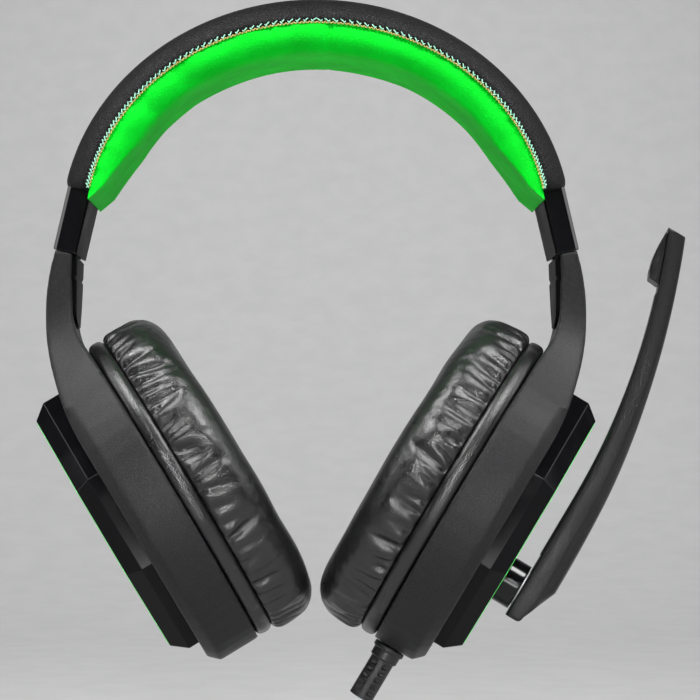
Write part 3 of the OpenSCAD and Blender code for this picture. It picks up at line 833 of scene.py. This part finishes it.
def pad_base(rng):
    """Points of one pad before it is gathered, how near each is to the seam, and how firmly it is held."""
    wall = spline(PAD_SECTION, PAD_FRONT)
    back = [Vector((mix(19.3, 1.5, (j + 1) / (PAD_BACK + 1)), 0)) for j in range(PAD_BACK)]
    section = list(wall) + back
    points, near_seam, held = [], [], []
    for i in range(PAD_ROWS):
        a = TAU * i / PAD_ROWS
        outer = Vector((PAD_W * math.sin(a), PAD_H * math.cos(a)))
        inner = Vector((EAR_W * math.sin(a), EAR_H * math.cos(a)))
        across = (inner - outer) / PAD_THICK
        for j, (x, h) in enumerate(section):
            flat = outer + across * x
            jitter = rng.uniform(-0.16, 0.16) * (1 if 0 < j < PAD_FRONT - 1 else 0)
            flat = flat - across.normalized() * jitter
            points.append(cup_point(SEAM_U - h, flat.x, flat.y))
            on_wall = x < 6
            near_seam.append(1 - smooth((h - 2.5) / 11.0) if on_wall else 0.0)
            back_side = j >= PAD_FRONT or j in (0, PAD_FRONT - 1)
            held.append(1.0 if back_side else 0.35 * smooth((x - 13) / 5))
    return points, near_seam, held


FOLD_DEPTH = 3.4  # the deepest that valleys may run together
FOLD_SPAN = 8  # a valley reaches no further along the seam than this


def gather(points, near_seam, seed):
    """Draws the leather in along the seam: narrow valleys with soft ridges between them."""
    rng = random.Random(seed)
    perimeter = TAU * (PAD_H + PAD_W) / 2
    valleys = []
    at = 0.0
    while at < perimeter:
        width, deep = rng.uniform(0.8, 1.5), rng.uniform(1.5, 3.2)
        length, lean = rng.uniform(6, 15), rng.uniform(-0.3, 0.3)
        valleys.append((at, width, deep, length, lean))
        at += rng.uniform(2.6, 6.2)
    for i in range(PAD_ROWS):
        at = perimeter * i / PAD_ROWS
        close = []
        for v in valleys:
            gap = (at - v[0] + perimeter / 2) % perimeter - perimeter / 2
            if abs(gap) < FOLD_SPAN:
                close.append((gap, *v[1:]))
        for j in range(1, PAD_FRONT - 1):
            at_point = i * PAD_COLUMNS + j
            near = near_seam[at_point]
            if near <= 0:
                continue
            p = points[at_point]
            local = p - CUP_ORIGIN
            depth = SEAM_U - local.dot(CUP_OUT)
            dip = 0.0
            for gap, width, deep, length, lean in close:
                fade = 1 - smooth((depth - 0.25 * length) / length)
                reach = abs(gap - lean * depth) / (width * (1 + 0.1 * depth))
                dip += deep * fade * math.exp(-1.2 * reach)
            start = smooth(depth / 1.2)
            inward = -(local - local.dot(CUP_OUT) * CUP_OUT).normalized()
            points[at_point] = p + inward * (min(dip, FOLD_DEPTH) - 0.9 * near) * start


SIM_FRAMES = 20
PAD_PRESSURE = 3.0
SIM_REACH = 1.3  # the furthest that the simulation may move a point


def settle_as_cloth(piece, held, spare):
    """Fills the leather with a short cloth simulation; held pins points, spare says where it is loose."""
    start = [v.co.copy() for v in piece.data.vertices]
    for name, weights in (("held", held), ("spare", spare)):
        group = piece.vertex_groups.new(name=name)
        for i, weight in enumerate(weights):
            group.add([i], weight, "REPLACE")
    cloth = piece.modifiers.new("leather", "CLOTH")
    rules = cloth.settings
    rules.quality = 6
    rules.mass = 0.1
    rules.tension_stiffness = rules.compression_stiffness = 20
    rules.shear_stiffness = 8
    rules.bending_stiffness = 0.3
    rules.air_damping = 3
    rules.use_pressure = True
    rules.uniform_pressure_force = PAD_PRESSURE
    rules.effector_weights.gravity = 0
    rules.vertex_group_mass = "held"
    rules.vertex_group_shrink = "spare"
    rules.shrink_min, rules.shrink_max = 0.0, -0.2
    cloth.collision_settings.use_collision = False
    cloth.point_cache.frame_start, cloth.point_cache.frame_end = 1, SIM_FRAMES
    for step in range(1, SIM_FRAMES + 1):
        bpy.context.scene.frame_set(step)
    moved = piece.evaluated_get(bpy.context.evaluated_depsgraph_get()).to_mesh()
    end = [v.co.copy() for v in moved.vertices]
    piece.modifiers.clear()
    piece.vertex_groups.clear()
    bpy.context.scene.frame_set(1)
    for v, a, b in zip(piece.data.vertices, start, end):
        shift = b - a
        if shift.length > SIM_REACH * MM:
            shift *= SIM_REACH * MM / shift.length
        v.co = a + shift


def build_pads():
    """Shapes, gathers and fills the left pad; the right one is its mirror image, turned front to back."""
    points, near_seam, held = pad_base(random.Random(11))
    gather(points, near_seam, 12)
    for i, p in enumerate(points):
        local = p - CUP_ORIGIN
        depth = SEAM_U - local.dot(CUP_OUT)
        soft = noise.noise(Vector((local.dot(CUP_UP) * 0.06, local.dot(CUP_BACK) * 0.06, depth * 0.05)))
        if depth > 3:
            points[i] = p + CUP_OUT * (0.55 * soft * smooth((depth - 6) / 8))
    faces = grid_faces(PAD_ROWS, PAD_COLUMNS)
    left = new_piece("ear_cushion_left", points, faces, FINISH["pad_leather"])
    tidy_normals(left)
    settle_as_cloth(left, held, near_seam)
    shaped = [v.co / MM - CUP_ORIGIN for v in left.data.vertices]
    turned = [cup_point(q.dot(CUP_OUT), -q.dot(CUP_BACK), q.dot(CUP_UP)) for q in shaped]
    right = new_piece("ear_cushion_right", turned, faces, FINISH["pad_leather"], flip=True)
    tidy_normals(right)
    for side, pad in (("left", left), ("right", right)):
        finer = pad.modifiers.new("finer", "SUBSURF")
        finer.levels = finer.render_levels = 1
        bake_modifiers(pad)
        pad.data.shade_smooth()
        settle(pad, f"arm_{side}", "pad_leather", f"ear_pad_{side}")


SKIRT_SET, SKIRT_R = 2.6, 2.55  # how far in from the ring's edge the roll's middle lies, and its radius
SKIRT_U = -10.8


def build_skirts():
    """The smooth roll of leather between each pad and its ring."""
    rows, columns = 360, 28
    mid_h, mid_w = RING_H - SKIRT_SET, RING_W - SKIRT_SET
    for side in SIDES:
        flip = side == "right"
        rng = random.Random(5 + flip)
        dents = [(rng.uniform(0, 1), rng.uniform(0.008, 0.02), rng.uniform(0.1, 0.35)) for _ in range(26)]
        points = []
        for i in range(rows):
            k = i / rows
            a = TAU * k
            out = Vector((math.sin(a) / mid_w, math.cos(a) / mid_h, 0)).normalized()
            base = Vector((mid_w * math.sin(a), mid_h * math.cos(a), 0))
            dent = sum(d * math.exp(-(((k - c + 0.5) % 1 - 0.5) / w) ** 2) for c, w, d in dents)
            roll = 0.2 * noise.noise(Vector((5 * math.sin(a), 5 * math.cos(a), 9.0 + flip)))
            for j in range(columns):
                b = TAU * j / columns
                cx, cu = math.cos(b), math.sin(b)
                r = SKIRT_R * math.copysign(abs(cx) ** 0.75, cx)
                u = SKIRT_U + 2.6 * math.copysign(abs(cu) ** 0.8, cu)
                if cx > 0:
                    r += roll - dent * cx
                flat = base + out * r
                points.append(cup_point(u + 0.25 * roll * cu, flat.x, flat.y))
        faces = grid_faces(rows, columns)
        skirt = new_piece(f"pad_roll_{side}", points, faces, FINISH["pad_leather"], flip)
        tidy_normals(skirt)
        settle(skirt, f"arm_{side}", "pad_leather", f"ear_pad_skirt_{side}")


CLOTH_H, CLOTH_W = RING_H - 6, RING_W - 5.6
CLOTH_U = (-13.2, -12.86)  # its two faces


def build_acoustic_cloth():
    """Knit stretched over the pad frame's opening, a little slack in the middle."""
    rings, around = 16, 120
    for side in SIDES:
        flip = side == "right"
        points = []
        for face, u in enumerate(CLOTH_U):
            for i in range(rings):
                r = 1 - i / rings
                for j in range(around):
                    a = TAU * j / around
                    y, s2 = CLOTH_W * r * math.sin(a), CLOTH_H * r * math.cos(a)
                    slack = smooth((0.66 - r) / 0.5)
                    wave = noise.noise(Vector((y * 0.09, s2 * 0.09, 3.0 + flip)))
                    points.append(cup_point(u + slack * (0.9 + 0.35 * wave), y, s2))
            points.append(cup_point(u + 0.95, 0, 0))
        per = rings * around + 1
        faces = []
        for face in (0, 1):
            base = face * per
            for i in range(rings - 1):
                here, next_in = base + i * around, base + (i + 1) * around
                for j in range(around):
                    k = (j + 1) % around
                    quad = (here + j, here + k, next_in + k, next_in + j)
                    faces.append(quad if face == 0 else tuple(reversed(quad)))
            last = base + (rings - 1) * around
            for j in range(around):
                tri = (last + j, last + (j + 1) % around, base + per - 1)
                faces.append(tri if face == 0 else tuple(reversed(tri)))
        faces += [(per + j, per + (j + 1) % around, (j + 1) % around, j) for j in range(around)]
        knit_sheet = new_piece(f"driver_cloth_{side}", points, faces, FINISH["cloth"], flip)
        tidy_normals(knit_sheet)
        settle(knit_sheet, f"arm_{side}", SLOT_OF[f"acoustic_cloth_{side}"], f"acoustic_cloth_{side}")


# ---- microphone boom

# The boom runs straight up from its tail past the pivot, then bends inward on an arc of BOOM_BEND degrees
BOOM_IN, BOOM_R, BOOM_STRAIGHT, BOOM_BEND = 22.3, 216.0, 31.5, 23.15
BOOM_TAIL, BOOM_TIP_S = -9.0, 101.2


def boom_frame(length):
    """Inner-face point (u, s) at a length from the pivot, and the way out of it."""
    if length <= BOOM_STRAIGHT:
        return (BOOM_IN, PIVOT_S + length), (1.0, 0.0)
    a = (length - BOOM_STRAIGHT) / BOOM_R
    bent = (BOOM_IN - BOOM_R + BOOM_R * math.cos(a), PIVOT_S + BOOM_STRAIGHT + BOOM_R * math.sin(a))
    return bent, (math.cos(a), math.sin(a))


def boom_section(length, total):
    """Half section at a length from the pivot: (depth from the inner face, y), from the inner face out."""
    k = smooth((length - BOOM_TAIL) / (total - BOOM_TAIL))
    half = mix(7.0, 5.6, k)
    wall = mix(6.2, 5.0, smooth((length - 5) / 70))
    crown = mix(3.4, 0.6, smooth((length - 10) / (total - 20)))
    # the tail is cut away on a slant towards the inner face
    cut = 5.0 + 4.6 * min(1.0, max(0.0, (length - BOOM_TAIL - 2) / 11))
    depth = min(wall + crown, cut)
    wall = min(wall, depth - 0.25)
    crown = depth - wall
    if length < BOOM_TAIL + 2:
        depth_k = 0.72 + 0.28 * math.sqrt(max(0.0, 1 - ((BOOM_TAIL + 2 - length) / 2) ** 2))
        half *= 0.9 + 0.1 * (depth_k - 0.72) / 0.28
        wall *= depth_k
        crown *= depth_k
    flank = [(0.0, half - 0.7), (0.15, half - 0.25), (0.6, half), (wall * 0.5, half + 0.04),
             (wall - 0.5, half), (wall - 0.12, half - 0.1), (wall + 0.12, half - 0.35)]
    return flank + [(wall + crown * 0.45, half - 0.35 - crown * 0.4), (wall + crown * 0.78, half * 0.62),
                    (wall + crown * 0.95, half * 0.34), (wall + crown, 0.0)]


STRIP_FROM, STRIP_TO = 11.8, BOOM_STRAIGHT + BOOM_R * math.radians(17.8)
STRIP_HALF, STRIP_PROUD = 4.6, 0.3
BOSS_GROW = 1.12  # the shown pivot boss is wider than the CAD one by this factor


def build_boom_strip():
    """The narrow cover let into the boom's inner face, standing slightly proud of it."""
    count = 60
    points = []
    section = [(0.9, -STRIP_HALF), (-0.08, -STRIP_HALF), (-STRIP_PROUD, 0.45 - STRIP_HALF),
               (-STRIP_PROUD, STRIP_HALF - 0.45), (-0.08, STRIP_HALF), (0.9, STRIP_HALF)]
    for i in range(count):
        length = mix(STRIP_FROM, STRIP_TO, i / (count - 1))
        (u, s), (du, ds) = boom_frame(length)
        taper = 1 - 0.12 * (i / count)
        points += [cup_point(u + du * d, y * taper, s + ds * d) for d, y in section]
    faces = grid_faces(count, len(section), wrap_rows=False) + end_faces(count, len(section))
    strip = new_piece("boom_strip", points, faces, FINISH["black_plastic"], shade=False)
    tidy_normals(strip)
    bevel(strip, 0.12, 2, 30)
    bake_modifiers(strip)
    settle(strip, "mic_boom", "black_plastic", "mic_boom_cover")


def build_boom():
    """The boom's shell, lofted along its length, and the microphone grille at its tip."""
    total = BOOM_STRAIGHT + BOOM_R * math.radians(BOOM_BEND)
    # stations lie close together over the rounded tail
    stations = [BOOM_TAIL + 0.35 * i for i in range(8)]
    stations += [BOOM_TAIL + 2.8 + (total - BOOM_TAIL - 2.8) * i / 110 for i in range(111)]
    points = []
    for length in stations:
        section = boom_section(length, total)
        ring = [(d, -y) for d, y in section] + [(d, y) for d, y in reversed(section[:-1])]
        half = section[0][1]
        ring += [(0.0, half * 0.5), (0.0, 0.0), (0.0, -half * 0.5)]
        columns = len(ring)
        (u, s), (du, ds) = boom_frame(length)
        for d, y in ring:
            # the tip is cut off square, slightly rounded across
            room = BOOM_TIP_S - 0.012 * abs(y) ** 2 - s
            points.append(cup_point(u + du * d, y, min(s + ds * d, s + room)))
    faces = grid_faces(len(stations), columns, wrap_rows=False) + end_faces(len(stations), columns)
    boom = new_piece("boom_shell", points, faces, FINISH["boom_plastic"])
    tidy_normals(boom)
    bevel(boom, 0.25, 1, 30)
    bake_modifiers(boom)
    smooth_by_angle(boom, 28)
    settle(boom, "mic_boom", "boom_plastic", "mic_boom_shell")
    build_boom_strip()
    pod = moulded_copy("mic_grille_cap", "mic_pod", 0.2, 3)
    settle(pod, "mic_boom", "black_plastic", "mic_grille_cap")


def build_boss():
    base = moulded_copy("mic_base", "pivot_boss", 0.3, 4)
    for v in base.data.vertices:
        local = v.co / MM - CUP_ORIGIN - PIVOT_S * CUP_UP
        along = local.dot(CUP_OUT) * CUP_OUT
        v.co = (CUP_ORIGIN + PIVOT_S * CUP_UP + along + (local - along) * BOSS_GROW) * MM
    settle(base, "arm_left", "gloss_plastic", "mic_base")


def build_relief():
    relief = moulded_copy("strain_relief", "cable_relief", 0.2, 2)
    settle(relief, "arm_left", "relief_rubber", "strain_relief")


# ---- studio


def area_light(name, place, target, size, power, spread=180):
    """A rectangular soft light, in metres and watts; spread is its beam in degrees."""
    data = bpy.data.lights.new(name, "AREA")
    data.shape = "RECTANGLE"
    data.size, data.size_y = size
    data.energy = power
    data.spread = math.radians(spread)
    lamp = bpy.data.objects.new(name, data)
    bpy.context.scene.collection.objects.link(lamp)
    lamp.location = Vector(place)
    lamp.rotation_mode = "QUATERNION"
    lamp.rotation_quaternion = (Vector(target) - Vector(place)).to_track_quat("-Z", "Y")


# The paper sheet, in metres
PAPER_FRONT, PAPER_BACK, PAPER_RISE, PAPER_BEND, PAPER_HALF = -1.2, 2.4, 2.6, 1.5, 2.5
PAPER_BELOW = 0.06  # the headset hangs this far above it
BEND_STEPS = 24


def build_floor():
    """A pale sheet that lies on the floor and sweeps up behind."""
    low = cad_lo.z - PAPER_BELOW
    bend, flat_end = PAPER_BEND, PAPER_BACK - PAPER_BEND
    path = [(PAPER_FRONT, 0.0), (flat_end, 0.0)]
    for i in range(1, BEND_STEPS + 1):
        turn = math.pi / (2 * BEND_STEPS) * i
        path.append((flat_end + bend * math.sin(turn), bend - bend * math.cos(turn)))
    path.append((PAPER_BACK, PAPER_RISE))
    points = [Vector((x, y, low + z)) / MM for y, z in path for x in (-PAPER_HALF, PAPER_HALF)]
    faces = [(2 * i, 2 * i + 1, 2 * i + 3, 2 * i + 2) for i in range(len(path) - 1)]
    paper = moulded("studio_paper", (0.43, 0.43, 0.43), (0.45, 0.45, 0.45), 0.85, 60, 0.00001, 0.02)
    new_piece("studio_sheet", points, faces, paper)


def build_studio():
    """Two high key lights, weak front and side lights, and a light on the paper behind."""
    middle = (0, 0, -0.09)
    area_light("key_left", (-0.5, -0.42, 0.93), middle, (0.5, 0.35), 16)
    area_light("key_right", (0.55, -0.5, 0.86), middle, (0.45, 0.35), 14)
    area_light("front_soft", (0, -0.95, -0.22), middle, (0.3, 0.22), 2.4)
    area_light("pad_soft", (0, -1.0, 0.08), (0, 0, -0.14), (0.1, 0.1), 0.045, spread=14)
    area_light("rim_left", (-0.75, 0.0, 0.22), middle, (0.3, 0.7), 2.4)
    area_light("rim_right", (0.75, 0.0, 0.22), middle, (0.3, 0.7), 2.4)
    area_light("backdrop", (0, 1.0, 1.2), (0, 2.4, 0.2), (1.6, 0.5), 20)
    world = bpy.data.worlds.new("studio")
    world.use_nodes = True
    sky = world.node_tree.nodes["Background"]
    sky.inputs["Color"].default_value = (0.9, 0.92, 1.0, 1)
    sky.inputs["Strength"].default_value = 0.05
    bpy.context.scene.world = world
    bpy.context.scene.view_settings.view_transform = "Standard"


# The camera stands in front of the wearer
CAMERA_AT = Vector((0.0, -0.69, -0.1144))
CAMERA_AIM = Vector((0.01015, 0.0, -0.0876))
CAMERA_LENS = 117.1


def build_camera():
    data = bpy.data.cameras.new("camera")
    data.lens = CAMERA_LENS
    data.clip_start = 0.02
    camera = bpy.data.objects.new("camera", data)
    bpy.context.scene.collection.objects.link(camera)
    camera.location = CAMERA_AT
    camera.rotation_mode = "QUATERNION"
    camera.rotation_quaternion = (CAMERA_AIM - CAMERA_AT).to_track_quat("-Z", "Y")
    bpy.context.scene.camera = camera


build_camera()
finish_cad_nodes()
build_cover()
build_cushion()
build_stitching()
build_end_caps()
build_yokes()
build_outer_caps()
build_pads()
build_skirts()
build_acoustic_cloth()
build_boom()
build_boss()
build_relief()
build_studio()
build_floor()
